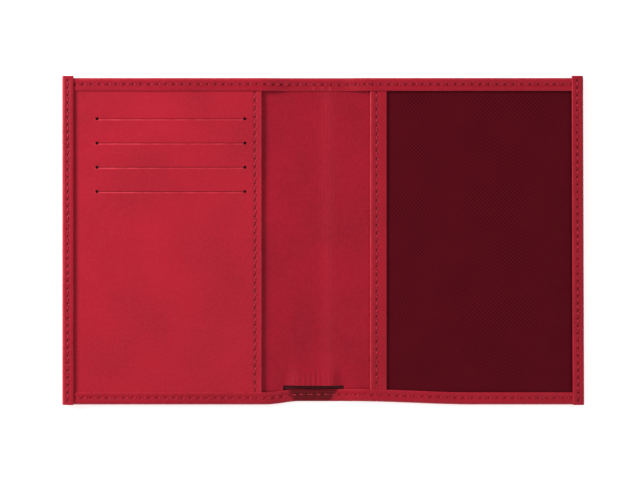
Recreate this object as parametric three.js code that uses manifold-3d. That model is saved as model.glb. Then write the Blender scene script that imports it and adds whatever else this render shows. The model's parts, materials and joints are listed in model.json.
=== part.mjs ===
// A passport holder wallet in smooth red leather, lying open on its outer cover.
//
// The left half carries a leather panel with four card slots, over a passport pocket. The right half
// carries a net pocket with a leather edge. The leather cover is turned in over both on every side
// and stitched. Between the halves the spine bends along two lines, so that the wallet closes like a
// book round the thickness of a passport.
//
// Millimetres, +Z up out of the open wallet, +Y to its top edge, +X to its right half. The wallet
// lies flat, with the spine's centre line on x = 0 and the outer face of the cover on z = 0.

import * as THREE from "three";
import { mergeVertices } from "three/addons/utils/BufferGeometryUtils.js";
import Module from "manifold-3d";

const wasm = await Module();
wasm.setup();

// ---- Driving dimensions ----

const HALF_WIDTH = 111; // spine centre line to side edge
const HEIGHT = 139; // bottom edge to top edge
const SIDE_PROUD = 0.7; // the side turn-ins stand this far past the top edge

const SPINE_WIDTH = 11; // between the two lines that the spine bends along
const SPINE_HALF = SPINE_WIDTH / 2;
const HINGES = [-SPINE_HALF, SPINE_HALF];
const HINGE_TURN = 90; // degrees that each line bends by as the wallet closes
const LEAN_SPARE = 0.5; // degrees

const COVER = 0.9; // leather thicknesses
const PANEL = 0.8;
const LINING = 0.7;
const HEM = 0.6;
const FLAP = 0.4; // the skived part that is turned under
const BOARD = 0.35; // stiffener
const CLOTH = 0.15; // pocket linings
const LINER = 0.1; // card pocket liners
const POCKET_GAP = 0.38; // the empty passport pockets
const NET = 0.3;
const AIR = 0.06; // between layers that lie on each other
const HEM_AIR = 0.1; // round the turn-ins, where they meet the cover and each other

const TOP_HEM_WIDTH = 5.7;
const BOTTOM_HEM_WIDTH = 5.3;
const SIDE_HEM_WIDTH = 5.1;
const EDGE_ROOM = 0.3; // a turn-in clears a pocket edge by this before it slopes down
const HEM_SLOPE = 2.9; // run of that slope
const WALL = 0.6; // the leather where it turns round the edge
const HEM_SEAM = 2.9; // seam to the top or bottom edge
const SIDE_SEAM = 2.7; // seam to the side edge

const CARD_PANEL_EDGE = -26.1; // the card panel's free edge
const CARD_PANEL_SEAM = -28.9;
const CARD_FLAP_END = -30.9; // the leather turned under that edge ends here
const STRIP_EDGE = 19.9; // the free edge of the net's leather strip
const STRIP_SEAM = 22.8;
const STRIP_END = 27;
const STRIP_FLAP_END = 25.8;
const LINING_LEFT = -38; // the spine lining's ends, inside the pockets
const LINING_RIGHT = 36;
const BACKING_ROOM = 1; // the stiffeners and pocket linings stop this far short of it

const SLOT_TOP = 52; // y of the uppermost card slot
const SLOT_PITCH = 10.3;
const SLOTS = 4;
const SLOT_LEFT = -96.1; // centres of the round holes that end each slot
const SLOT_RIGHT = -33.3;
const SLOT_GAP = 0.35;
const SLOT_HOLE_RADIUS = 0.65;
const SLOT_HOLE_SIDES = 10;
const LINER_ABOVE_SLOT = 5;
const LINER_BELOW_SLOT = 77;
const LINER_SIDE_ROOM = 4; // from the liners to the side wall
const LINER_FLAP_ROOM = 0.4; // and to the leather turned under the panel's free edge

const LOOSE_EDGE = -61.5; // the spine lining ends here, short of the bottom turn-in
const LOOSE_LEFT = -17;
const LOOSE_RIGHT = 8.8;

const NIP = 1.36; // how far the bottom edge is drawn in at the spine
const NIP_RISE = [-24, -10];
const NIP_FALL = [14, 64];
const NIP_STEPS = 4; // straight runs in each of those two curves
const LEAST_RUN = 0.5; // no corner lies closer than this to a piece's end

const STITCH = 3.5;
const SIDE_STITCH = 3.2;
const POCKET_STITCH = 3.55;
const THREAD_WIDTH = 0.6;
const THREAD_CROWN = 0.12; // a stitch's crown over the leather
const THREAD_DIP = 0.06; // its ends under the leather's face
const GROOVE_WIDTH = 0.9;
const GROOVE_DEPTH = 0.3;
const SEAM_INSET = 1.6; // a side seam stops this far from the turn-in's ends
const POCKET_SEAM_ROOM = 0.6; // a pocket's seam stops this far short of the turn-ins

// ---- Levels worked out from them ----

const LAYER_1 = COVER + AIR; // stiffeners and spine lining lie on the cover
const HEM_FOOT = COVER + HEM_AIR; // the turn-ins' walls stand on the cover
const CLOTH_FLOOR = LAYER_1 + BOARD + AIR;
const SPINE_HEM_FLOOR = LAYER_1 + LINING + AIR;
const LINER_FLOOR = CLOTH_FLOOR + CLOTH + POCKET_GAP;
const CARD_PANEL_FLOOR = LINER_FLOOR + SLOTS * (LINER + AIR);
const LEFT_HEM_FLOOR = CARD_PANEL_FLOOR + PANEL + AIR;
const STRIP_FLAP_FLOOR = SPINE_HEM_FLOOR + HEM_AIR; // over the lining's end, inside the pocket
const NET_FLOOR = STRIP_FLAP_FLOOR + FLAP + AIR;
const STRIP_FLOOR = NET_FLOOR + NET + AIR;
const RIGHT_HEM_FLOOR = STRIP_FLOOR + HEM + AIR;
const INNER_X = HALF_WIDTH - WALL - AIR; // inside the side walls
const INNER_Y = HEIGHT / 2 - WALL - NIP - AIR;
const TALL = 10; // reaches past every piece
const PAST = 1; // how far a cut runs on past what it cuts
const JOINT_TOP = 4; // past every piece that a joint cuts

// ---- Solids ----

const SAME_POINT = 1e-4; // corners closer than this are one

function solidOf(geometry) {
  const bare = geometry.index ? geometry.toNonIndexed() : geometry.clone();
  bare.deleteAttribute("normal");
  bare.deleteAttribute("uv");
  const merged = mergeVertices(bare, SAME_POINT);
  return new wasm.Manifold(
    new wasm.Mesh({
      numProp: 3,
      vertProperties: merged.attributes.position.array,
      triVerts: new Uint32Array(merged.index.array),
    }),
  );
}

function geometryOf(solid) {
  const made = solid.getMesh();
  const geometry = new THREE.BufferGeometry();
  geometry.setAttribute("position", new THREE.BufferAttribute(made.vertProperties, 3));
  geometry.setIndex(new THREE.BufferAttribute(made.triVerts, 1));
  geometry.computeVertexNormals();
  return geometry;
}

// A closed outline, given as [a, b] pairs.
function outline(points) {
  return new THREE.Shape(points.map(([a, b]) => new THREE.Vector2(a, b)));
}

function extruded(points, depth) {
  return new THREE.ExtrudeGeometry(outline(points), { depth, bevelEnabled: false, steps: 1 });
}

// An outline in x and y, standing from z0 to z1.
function plate(points, z0, z1) {
  return solidOf(extruded(points, z1 - z0).translate(0, 0, z0));
}

// A section in x and z, running from y0 to y1.
function band(points, y0, y1) {
  return solidOf(extruded(points, y1 - y0).rotateX(Math.PI / 2).translate(0, y1, 0));
}

function slab(x0, x1, y0, y1, z0, z1) {
  const box = new THREE.BoxGeometry(x1 - x0, y1 - y0, z1 - z0);
  return solidOf(box.translate((x0 + x1) / 2, (y0 + y1) / 2, (z0 + z1) / 2));
}

// ---- The spine's joints ----

// Each side of a joint leans back by half of what the joint closes by, so that the inner edges just
// meet when the wallet is shut.
const LEAN = Math.tan(THREE.MathUtils.degToRad(HINGE_TURN / 2 + LEAN_SPARE));

function leaning(hinge, z, side) {
  return hinge + side * (AIR + z * LEAN);
}

// The room that a joint's two sides leave between them.
function jointGap(x) {
  const reach = HEM_AIR + JOINT_TOP * LEAN;
  const section = [
    [x - HEM_AIR, -PAST],
    [x + HEM_AIR, -PAST],
    [x + HEM_AIR, 0],
    [x + reach, JOINT_TOP],
    [x - reach, JOINT_TOP],
    [x - HEM_AIR, 0],
  ];
  return band(section, -HEIGHT, HEIGHT);
}

// A layer from z0 to z1. Each end is a joint that it leans back from, or a plain x.
function layerSection(from, to, z0, z1) {
  const start = (z) => (from.joint === undefined ? from.x : leaning(from.joint, z, 1));
  const end = (z) => (to.joint === undefined ? to.x : leaning(to.joint, z, -1));
  return [
    [start(z0), z0],
    [end(z0), z0],
    [end(z1), z1],
    [start(z1), z1],
  ];
}

const LEFT_JOINT = { joint: HINGES[0] };
const RIGHT_JOINT = { joint: HINGES[1] };

// ---- The bottom edge, drawn in at the spine ----

function nip(x) {
  const rise = THREE.MathUtils.smoothstep(x, ...NIP_RISE);
  const fall = 1 - THREE.MathUtils.smoothstep(x, ...NIP_FALL);
  return NIP * rise * fall;
}

// Distances along x where the drawn-in edge is given a corner: none where it runs straight.
function edgeStations(x0, x1) {
  const stations = [x0];
  for (const [start, end] of [NIP_RISE, NIP_FALL]) {
    for (let i = 0; i <= NIP_STEPS; i++) {
      const x = start + ((end - start) * i) / NIP_STEPS;
      if (x > x0 + LEAST_RUN && x < x1 - LEAST_RUN) stations.push(x);
    }
  }
  stations.push(x1);
  return stations;
}

// The region between two distances in from the top or bottom edge.
function alongEdge(side, x0, x1, inset0, inset1) {
  const edge = (x) => (side > 0 ? HEIGHT / 2 : -HEIGHT / 2 + nip(x));
  const stations = side > 0 ? [x0, x1] : edgeStations(x0, x1);
  const outer = stations.map((x) => [x, edge(x) - side * inset0]);
  const inner = stations.map((x) => [x, edge(x) - side * inset1]).reverse();
  const points = [...outer, ...inner];
  return plate(side > 0 ? points.reverse() : points, -PAST, TALL);
}

function coverOutline(x0, x1) {
  const bottom = edgeStations(x0, x1).map((x) => [x, -HEIGHT / 2 + nip(x)]);
  return plate([...bottom, [x1, HEIGHT / 2], [x0, HEIGHT / 2]], -PAST, TALL);
}

// ---- Seams ----

// A seam's level along its run: height of the leather's face at each distance.
function levelAt(path, s) {
  for (let i = 1; i < path.length; i++) {
    const [s0, z0] = path[i - 1];
    const [s1, z1] = path[i];
    if (s <= s1) return z0 + ((z1 - z0) * (s - s0)) / (s1 - s0);
  }
  return path[path.length - 1][1];
}

// The section of one thread: flat underneath, with a crown at every stitch.
function threadSection(path, s0, s1, pitch) {
  const stitches = Math.max(1, Math.round((s1 - s0) / pitch));
  const step = (s1 - s0) / stitches;
  const top = [];
  for (let i = 0; i < stitches; i++) {
    const start = s0 + i * step;
    top.push([start, levelAt(path, start) - THREAD_DIP]);
    top.push([start + step / 2, levelAt(path, start + step / 2) + THREAD_CROWN]);
  }
  top.push([s1, levelAt(path, s1) - THREAD_DIP]);
  const corners = path.map(([s]) => s).filter((s) => s > s0 && s < s1);
  const floor = [s0, ...corners, s1].map((s) => [s, levelAt(path, s) - GROOVE_DEPTH + AIR]);
  return [...floor, ...top.reverse()];
}

function grooveSection(path, s0, s1) {
  const corners = path.map(([s]) => s).filter((s) => s > s0 && s < s1);
  const run = [s0, ...corners, s1];
  const floor = run.map((s) => [s, levelAt(path, s) - GROOVE_DEPTH]);
  const ceiling = run.map((s) => [s, levelAt(path, s) + TALL]).reverse();
  return [...floor, ...ceiling];
}

// A run drawn in x and z, turned so that it goes along y at the given x.
function upright(solid, x) {
  return solid.rotate([0, 0, 90]).translate([x, 0, 0]);
}

// ---- Turn-ins along the top and bottom edges ----

// The level of the turn-in's underside over a half, from its outer end to the spine.
const LEFT_HEM_PATH = [
  [-INNER_X, LEFT_HEM_FLOOR],
  [CARD_PANEL_EDGE + EDGE_ROOM, LEFT_HEM_FLOOR],
  [CARD_PANEL_EDGE + EDGE_ROOM + HEM_SLOPE, SPINE_HEM_FLOOR],
  [0, SPINE_HEM_FLOOR],
];
const RIGHT_HEM_PATH = [
  [0, SPINE_HEM_FLOOR],
  [STRIP_EDGE - EDGE_ROOM - HEM_SLOPE, SPINE_HEM_FLOOR],
  [STRIP_EDGE - EDGE_ROOM, RIGHT_HEM_FLOOR],
  [INNER_X, RIGHT_HEM_FLOOR],
];
const SPINE_HEM_PATH = [
  [-SPINE_HALF, SPINE_HEM_FLOOR],
  [SPINE_HALF, SPINE_HEM_FLOOR],
];

function raised(path, by) {
  return path.map(([s, z]) => [s, z + by]);
}

// The region under a path, from the given level up.
function under(path, x0, x1, floor) {
  const corners = path.map(([s]) => s).filter((s) => s > x0 + LEAST_RUN && s < x1 - LEAST_RUN);
  const top = [x0, ...corners, x1].map((x) => [x, levelAt(path, x)]).reverse();
  return band([[x0, floor], [x1, floor], ...top], -HEIGHT, HEIGHT);
}

// The turned-in leather from x0 to x1: a wall up from the cover, a web over the layers, a seam groove,
// and sides that lean back at the joints.
function edgeHem(side, path, x0, x1) {
  const width = side > 0 ? TOP_HEM_WIDTH : BOTTOM_HEM_WIDTH;
  const [past0, past1] = [x0 - PAST, x1 + PAST];
  const face = raised(path, HEM);
  const whole = under(face, x0, x1, HEM_FOOT).intersect(alongEdge(side, x0, x1, 0, width));
  const hollow = under(path, past0, past1, 0).intersect(
    alongEdge(side, past0, past1, WALL, width + PAST),
  );
  const groove = band(grooveSection(face, past0, past1), -HEIGHT, HEIGHT).intersect(
    alongEdge(side, past0, past1, HEM_SEAM - GROOVE_WIDTH / 2, HEM_SEAM + GROOVE_WIDTH / 2),
  );
  let hem = whole.subtract(hollow).subtract(groove);
  for (const hinge of HINGES) hem = hem.subtract(jointGap(hinge));
  return hem;
}

function edgeThread(side, path, x0, x1, pitch) {
  const run = band(threadSection(raised(path, HEM), x0, x1, pitch), -HEIGHT, HEIGHT);
  return run.intersect(
    alongEdge(side, x0, x1, HEM_SEAM - THREAD_WIDTH / 2, HEM_SEAM + THREAD_WIDTH / 2),
  );
}

// ---- Turn-ins down the sides ----

const SIDE_Y0 = -HEIGHT / 2;
const SIDE_Y1 = HEIGHT / 2 + SIDE_PROUD;

function sideFloor(hemFloor) {
  return hemFloor + HEM + AIR;
}

function sideHem(side, hemFloor) {
  const floor = sideFloor(hemFloor);
  const outer = side * HALF_WIDTH;
  const section = [
    [outer, HEM_FOOT],
    [outer, floor + HEM],
    [outer - side * SIDE_HEM_WIDTH, floor + HEM],
    [outer - side * SIDE_HEM_WIDTH, floor],
    [outer - side * WALL, floor],
    [outer - side * WALL, HEM_FOOT],
  ];
  const hem = band(side > 0 ? section : section.reverse(), SIDE_Y0, SIDE_Y1);
  const face = [
    [SIDE_Y0, floor + HEM],
    [SIDE_Y1, floor + HEM],
  ];
  const groove = band(grooveSection(face, SIDE_Y0, SIDE_Y1), -GROOVE_WIDTH / 2, GROOVE_WIDTH / 2);
  return hem.subtract(upright(groove, side * (HALF_WIDTH - SIDE_SEAM)));
}

function sideThread(side, hemFloor) {
  const level = sideFloor(hemFloor) + HEM;
  const face = [
    [SIDE_Y0, level],
    [SIDE_Y1, level],
  ];
  const section = threadSection(face, SIDE_Y0 + SEAM_INSET, SIDE_Y1 - SEAM_INSET, SIDE_STITCH);
  return upright(
    band(section, -THREAD_WIDTH / 2, THREAD_WIDTH / 2),
    side * (HALF_WIDTH - SIDE_SEAM),
  );
}

// ---- Seams of the two pockets, which stop inside the turn-ins ----

const POCKET_SEAM_TOP = HEIGHT / 2 - TOP_HEM_WIDTH - POCKET_SEAM_ROOM;
const POCKET_SEAM_BOTTOM = -HEIGHT / 2 + BOTTOM_HEM_WIDTH + NIP + POCKET_SEAM_ROOM;

function pocketGroove(x, level) {
  const face = [
    [POCKET_SEAM_BOTTOM, level],
    [POCKET_SEAM_TOP, level],
  ];
  const section = grooveSection(face, POCKET_SEAM_BOTTOM, POCKET_SEAM_TOP);
  return upright(band(section, -GROOVE_WIDTH / 2, GROOVE_WIDTH / 2), x);
}

function pocketThread(x, level) {
  const face = [
    [POCKET_SEAM_BOTTOM, level],
    [POCKET_SEAM_TOP, level],
  ];
  const ends = [POCKET_SEAM_BOTTOM + AIR, POCKET_SEAM_TOP - AIR];
  const section = threadSection(face, ...ends, POCKET_STITCH);
  return upright(band(section, -THREAD_WIDTH / 2, THREAD_WIDTH / 2), x);
}

// ---- Layers of the two halves ----

function leftCover() {
  const layer = band(layerSection({ x: -HALF_WIDTH }, LEFT_JOINT, 0, COVER), -HEIGHT, HEIGHT);
  return layer.intersect(coverOutline(-HALF_WIDTH, 0));
}

function rightCover() {
  const layer = band(layerSection(RIGHT_JOINT, { x: HALF_WIDTH }, 0, COVER), -HEIGHT, HEIGHT);
  return layer.intersect(coverOutline(0, HALF_WIDTH));
}

function spineCover() {
  const layer = band(layerSection(LEFT_JOINT, RIGHT_JOINT, 0, COVER), -HEIGHT, HEIGHT);
  return layer.intersect(coverOutline(-SPINE_HALF, SPINE_HALF));
}

// The lining's lower edge hangs free across the spine.
const freeEdge = slab(LOOSE_LEFT, LOOSE_RIGHT, -HEIGHT, LOOSE_EDGE, 0, TALL);

function spineLining(from, to) {
  const section = layerSection(from, to, LAYER_1, LAYER_1 + LINING);
  return band(section, -INNER_Y, INNER_Y).subtract(freeEdge);
}

function slotCut(y) {
  const hole = new THREE.CylinderGeometry(SLOT_HOLE_RADIUS, SLOT_HOLE_RADIUS, TALL, SLOT_HOLE_SIDES);
  hole.rotateX(Math.PI / 2);
  const holes = [SLOT_LEFT, SLOT_RIGHT].map((x) => solidOf(hole.clone().translate(x, y, 0)));
  const gap = slab(SLOT_LEFT, SLOT_RIGHT, y - SLOT_GAP / 2, y + SLOT_GAP / 2, 0, TALL);
  return gap.add(holes[0]).add(holes[1]);
}

function slotY(k) {
  return SLOT_TOP - k * SLOT_PITCH;
}

function cardPanel() {
  const face = CARD_PANEL_FLOOR + PANEL;
  const flapTop = CARD_PANEL_FLOOR - AIR;
  const section = [
    [-INNER_X, CARD_PANEL_FLOOR],
    [CARD_PANEL_EDGE - WALL, CARD_PANEL_FLOOR],
    [CARD_PANEL_EDGE - WALL, flapTop],
    [CARD_FLAP_END, flapTop],
    [CARD_FLAP_END, flapTop - FLAP],
    [CARD_PANEL_EDGE, flapTop - FLAP],
    [CARD_PANEL_EDGE, face],
    [-INNER_X, face],
  ];
  let panel = band(section, -INNER_Y, INNER_Y).subtract(pocketGroove(CARD_PANEL_SEAM, face));
  for (let k = 0; k < SLOTS; k++) panel = panel.subtract(slotCut(slotY(k)));
  return panel;
}

// The liner behind the lowest slot lies nearest the panel.
function cardLiner(k) {
  const floor = LINER_FLOOR + k * (LINER + AIR);
  const y = slotY(k);
  const top = y + LINER_ABOVE_SLOT;
  const bottom = y - LINER_BELOW_SLOT;
  const [x0, x1] = [-INNER_X + LINER_SIDE_ROOM, CARD_FLAP_END - LINER_FLAP_ROOM];
  return slab(x0, x1, bottom, top, floor, floor + LINER);
}

function stripOfNet() {
  const flapTop = NET_FLOOR - AIR;
  const section = [
    [STRIP_EDGE, STRIP_FLAP_FLOOR],
    [STRIP_FLAP_END, STRIP_FLAP_FLOOR],
    [STRIP_FLAP_END, flapTop],
    [STRIP_EDGE + WALL, flapTop],
    [STRIP_EDGE + WALL, STRIP_FLOOR],
    [STRIP_END, STRIP_FLOOR],
    [STRIP_END, STRIP_FLOOR + HEM],
    [STRIP_EDGE, STRIP_FLOOR + HEM],
  ];
  const strip = band(section, -INNER_Y, INNER_Y);
  return strip.subtract(pocketGroove(STRIP_SEAM, STRIP_FLOOR + HEM));
}

// Stiffener or lining cloth behind a pocket.
function backing(x0, x1, floor, thickness) {
  return slab(x0, x1, -INNER_Y, INNER_Y, floor, floor + thickness);
}

// ---- Materials ----

const leather = new THREE.MeshStandardMaterial({ color: 0xb3243a, roughness: 0.5, metalness: 0 });
const hemLeather = new THREE.MeshStandardMaterial({ color: 0xa62238, roughness: 0.5, metalness: 0 });
const liningLeather = new THREE.MeshStandardMaterial({ color: 0xa12033, roughness: 0.5, metalness: 0 });
const threadMaterial = new THREE.MeshStandardMaterial({ color: 0x8e1426, roughness: 0.6, metalness: 0 });
const netMaterial = new THREE.MeshStandardMaterial({ color: 0x54121b, roughness: 0.6, metalness: 0 });
const clothMaterial = new THREE.MeshStandardMaterial({ color: 0x3a0c14, roughness: 0.8, metalness: 0 });
const boardMaterial = new THREE.MeshStandardMaterial({ color: 0x8a6f55, roughness: 0.9, metalness: 0 });

// ---- Assembly ----

function addPiece(group, name, solid, material) {
  const mesh = new THREE.Mesh(geometryOf(solid), material);
  mesh.name = name;
  group.add(mesh);
}

function addLeftHalf(group) {
  addPiece(group, "left_cover_leather", leftCover(), leather);
  const boardEnd = LINING_LEFT - BACKING_ROOM;
  addPiece(group, "left_stiffener", backing(-INNER_X, boardEnd, LAYER_1, BOARD), boardMaterial);
  addPiece(group, "left_pocket_lining", backing(-INNER_X, boardEnd, CLOTH_FLOOR, CLOTH), clothMaterial);
  addPiece(group, "left_spine_lining", spineLining({ x: LINING_LEFT }, LEFT_JOINT), liningLeather);
  for (let k = 0; k < SLOTS; k++) {
    addPiece(group, `card_liner_${k + 1}`, cardLiner(k), clothMaterial);
  }
  addPiece(group, "card_panel", cardPanel(), leather);
  const panelFace = CARD_PANEL_FLOOR + PANEL;
  addPiece(group, "card_panel_thread", pocketThread(CARD_PANEL_SEAM, panelFace), threadMaterial);
  for (const [label, side] of [["top", 1], ["bottom", -1]]) {
    const hem = edgeHem(side, LEFT_HEM_PATH, -INNER_X, -SPINE_HALF);
    addPiece(group, `left_${label}_hem`, hem, hemLeather);
    const seamEnd = leaning(HINGES[0], SPINE_HEM_FLOOR + HEM + THREAD_CROWN, -1);
    const seamStart = -HALF_WIDTH + SIDE_HEM_WIDTH + AIR;
    const thread = edgeThread(side, LEFT_HEM_PATH, seamStart, seamEnd, STITCH);
    addPiece(group, `left_${label}_thread`, thread, threadMaterial);
  }
  addPiece(group, "left_side_hem", sideHem(-1, LEFT_HEM_FLOOR), hemLeather);
  addPiece(group, "left_side_thread", sideThread(-1, LEFT_HEM_FLOOR), threadMaterial);
}

function addSpine(group) {
  addPiece(group, "spine_cover", spineCover(), leather);
  addPiece(group, "spine_lining", spineLining(LEFT_JOINT, RIGHT_JOINT), liningLeather);
  const crown = SPINE_HEM_FLOOR + HEM + THREAD_CROWN;
  const ends = [leaning(HINGES[0], crown, 1), leaning(HINGES[1], crown, -1)];
  for (const [label, side] of [["top", 1], ["bottom", -1]]) {
    const hem = edgeHem(side, SPINE_HEM_PATH, ...HINGES);
    addPiece(group, `spine_${label}_hem`, hem, hemLeather);
    const thread = edgeThread(side, SPINE_HEM_PATH, ...ends, STITCH);
    addPiece(group, `spine_${label}_thread`, thread, threadMaterial);
  }
}

function addRightHalf(group) {
  addPiece(group, "right_cover_leather", rightCover(), leather);
  const boardStart = LINING_RIGHT + BACKING_ROOM;
  addPiece(group, "right_stiffener", backing(boardStart, INNER_X, LAYER_1, BOARD), boardMaterial);
  addPiece(group, "right_pocket_lining", backing(boardStart, INNER_X, CLOTH_FLOOR, CLOTH), clothMaterial);
  addPiece(group, "right_spine_lining", spineLining(RIGHT_JOINT, { x: LINING_RIGHT }), liningLeather);
  addPiece(group, "net_panel", backing(STRIP_EDGE + WALL + AIR, INNER_X, NET_FLOOR, NET), netMaterial);
  addPiece(group, "net_edge_strip", stripOfNet(), hemLeather);
  addPiece(group, "net_edge_thread", pocketThread(STRIP_SEAM, STRIP_FLOOR + HEM), threadMaterial);
  for (const [label, side] of [["top", 1], ["bottom", -1]]) {
    const hem = edgeHem(side, RIGHT_HEM_PATH, SPINE_HALF, INNER_X);
    addPiece(group, `right_${label}_hem`, hem, hemLeather);
    const seamStart = leaning(HINGES[1], SPINE_HEM_FLOOR + HEM + THREAD_CROWN, 1);
    const seamEnd = HALF_WIDTH - SIDE_HEM_WIDTH - AIR;
    const thread = edgeThread(side, RIGHT_HEM_PATH, seamStart, seamEnd, STITCH);
    addPiece(group, `right_${label}_thread`, thread, threadMaterial);
  }
  addPiece(group, "right_side_hem", sideHem(1, RIGHT_HEM_FLOOR), hemLeather);
  addPiece(group, "right_side_thread", sideThread(1, RIGHT_HEM_FLOOR), threadMaterial);
}

// The origin is the middle of the underside, counting the side turn-ins that stand past the top.
const wallet = new THREE.Group();
wallet.position.y = -SIDE_PROUD / 2;
addLeftHalf(wallet);
addSpine(wallet);
addRightHalf(wallet);

export default wallet;
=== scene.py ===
"""A red leather passport holder wallet, lying open. Lengths are in millimetres until a mesh is made."""

import json
import math

import bpy
import numpy as np
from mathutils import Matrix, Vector


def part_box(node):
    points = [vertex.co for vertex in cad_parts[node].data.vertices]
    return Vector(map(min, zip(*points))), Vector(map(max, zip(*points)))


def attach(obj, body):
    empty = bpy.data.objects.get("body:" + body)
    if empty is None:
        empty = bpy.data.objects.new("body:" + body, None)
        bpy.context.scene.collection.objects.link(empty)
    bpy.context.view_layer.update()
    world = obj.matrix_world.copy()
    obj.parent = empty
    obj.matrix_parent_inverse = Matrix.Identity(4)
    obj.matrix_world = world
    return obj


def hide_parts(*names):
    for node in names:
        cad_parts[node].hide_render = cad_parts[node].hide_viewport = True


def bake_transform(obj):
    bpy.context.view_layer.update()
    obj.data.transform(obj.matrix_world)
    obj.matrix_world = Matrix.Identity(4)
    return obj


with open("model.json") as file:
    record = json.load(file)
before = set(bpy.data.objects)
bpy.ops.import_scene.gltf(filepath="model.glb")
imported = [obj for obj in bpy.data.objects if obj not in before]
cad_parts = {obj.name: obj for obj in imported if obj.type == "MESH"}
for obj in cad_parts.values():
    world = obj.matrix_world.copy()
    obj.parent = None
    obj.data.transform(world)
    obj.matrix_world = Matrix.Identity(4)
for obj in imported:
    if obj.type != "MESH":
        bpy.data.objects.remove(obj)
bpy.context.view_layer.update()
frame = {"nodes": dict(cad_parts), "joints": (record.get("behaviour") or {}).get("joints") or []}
MM = 0.001


def corners(node):
    """The lowest and highest corner of a CAD node, in millimetres."""
    low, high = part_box(node)
    return np.array(low) / MM, np.array(high) / MM


# ---- Places, from the frame ----

LEFT, RIGHT = corners("left_cover_leather")[0][0], corners("right_cover_leather")[1][0]
BOTTOM, TOP = corners("left_cover_leather")[0][1], corners("left_cover_leather")[1][1]
COVER = corners("left_cover_leather")[1][2]
SIDE_TOP = corners("left_side_hem")[1][1]
NIP = corners("spine_cover")[0][1] - BOTTOM
TOP_HEM = corners("spine_top_hem")[1][1] - corners("spine_top_hem")[0][1]
BOTTOM_HEM = corners("spine_bottom_hem")[1][1] - corners("spine_bottom_hem")[0][1]
SIDE_HEM = corners("left_side_hem")[1][0] - LEFT
SPINE_LEVEL = corners("spine_top_hem")[1][2]
LEFT_LEVEL = corners("left_top_hem")[1][2]
RIGHT_LEVEL = corners("right_top_hem")[1][2]
PANEL_HIGH = corners("card_panel")[1]
STRIP_LOW, STRIP_HIGH = corners("net_edge_strip")
NET_LOW, NET_HIGH = corners("net_panel")
LINING_LEVEL = corners("spine_lining")[1][2]
LINING_FLOOR = corners("spine_lining")[0][2]
LINING_LEFT = corners("left_spine_lining")[0][0]
LINING_RIGHT = corners("right_spine_lining")[1][0]
LINING_TOP = corners("spine_lining")[1][1]
LINING_BOTTOM = corners("left_spine_lining")[0][1]
LOOSE_EDGE = corners("spine_lining")[0][1]
HINGES = [joint["pos_m"][0] / MM for joint in frame["joints"]]
SPINE_MIDDLE = sum(HINGES) / 2

# ---- Details the frame doesn't hold ----

ROLL = 1.3  # how far in the leather's turn round an edge reaches
TURN_POINTS = 12  # points round that turn
WEB_POINTS = 19  # points across the flat part of a turn-in
LIP_SLOPE = 0.5  # a turn-in starts to fall away this far from its free edge
HEM_LEATHER = 0.55
PANEL_LEATHER = 0.75
FLAP_LEATHER = 0.3  # the skived part turned under the card panel's free edge
SEAM_IN = 2.9  # seams' distance from the top and bottom edges
SIDE_SEAM_IN = 2.7
PANEL_SEAM = PANEL_HIGH[0] - 2.8
STRIP_SEAM = STRIP_LOW[0] + 2.9
NIP_RISE = (-24.0, -10.0)  # along x, where the bottom edge is drawn in and let out again
NIP_FALL = (14.0, 64.0)
HEM_SETTLE = 13.0  # run over which a hem comes down past a pocket's edge
FLAP_END = PANEL_HIGH[0] - 4.8
SLOT_TOP = TOP - 17.5
SLOT_PITCH = 10.3
SLOTS = 4
SLOT_ENDS = (-96.1, -33.3)
SLOT_GAP = 0.18
LIP_RISE, LIP_RISE_RUN = 0.17, 1.3  # a slot's lower lip, and how far down it fades
LIP_SINK, LIP_SINK_RUN = 0.1, 1.6  # and its upper one
HOLE_RADIUS = 0.68
LOOSE_LEFT, LOOSE_RIGHT = -17.0, 8.8
LOOSE_LIFT = 1.5
LOOSE_RUN = 17.0  # how far up the lining that lift reaches
RIGHT_LEAN = 0.45  # how far in the right edge leans, from bottom to top
BEND_RIDGE, BEND_RIDGE_X, BEND_RIDGE_WIDTH = 0.2, 2.4, 3.2  # soft ridge left by the wallet's folding
NIP_REACH = 14.0  # how far up the cover the drawn-in edge is felt
PITCH = 3.5
SIDE_PITCH = 3.15
POCKET_PITCH = 3.55
FEED_TICK, FEED_TICK_DEPTH = 1.6, 0.018  # marks of the sewing machine's feet
SIDE_SEAM_END = 2.0  # a side seam stops this far from its turn-in's ends
POCKET_SEAM_END = 0.5  # a pocket's seam stops this far short of the turn-ins
EDGE_SEAM_END = 0.4
THREAD_RADIUS = 0.24
THREAD_SINK = 0.13  # a stitch's middle lies this far under the leather's face
THREAD_RINGS, THREAD_SIDES = 9, 8
THREAD_BROAD, THREAD_FLAT = 1.12, 0.8  # a stitch is wider than it is high
PLY_DEPTH, PLY_TURN = 0.14, 5.5  # its twist
STITCH_HALF = 0.4  # half a stitch, as a share of the pitch
STITCH_DIVE = 0.36  # how far its ends go down
COVER_SEAM_RISE = 0.27  # height of the outer stitches, in the cover's grooves
SEAM_GRID = 0.2  # closer grid lines along a seam
COVER_GROOVE, COVER_GROOVE_WIDTH = 0.3, 0.7
WEAVE_X, WEAVE_Y = 0.86, 0.835  # the net's threads
WEAVE_RISE = 0.05  # how far they rise and fall
HIDDEN_WEAVE = 0.4  # the pocket cloth's threads
EDGE_STEPS = np.array([0, 0.04, 0.12, 0.25, 0.42, 0.65])  # closer grid lines at a rounded edge
FOLD_ANGLE = math.radians(50)  # edges sharper than this aren't shaded smooth
CREASES = (-4.0, -0.4, 2.9)  # creases of the top turn-in at the spine
FOLD_SHADOW_IN = (-14.5, 6.6)  # ends of the sunk fold and its painted shadow under the loose lining, at the turn-in's free edge
FOLD_SHADOW_OUT = (-12.6, 3.0)  # and at its outer edge


# ---- Curves and surfaces ----


def smooth(x, start, end):
    t = np.clip((np.asarray(x, float) - start) / (end - start), 0, 1)
    return t * t * (3 - 2 * t)


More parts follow.
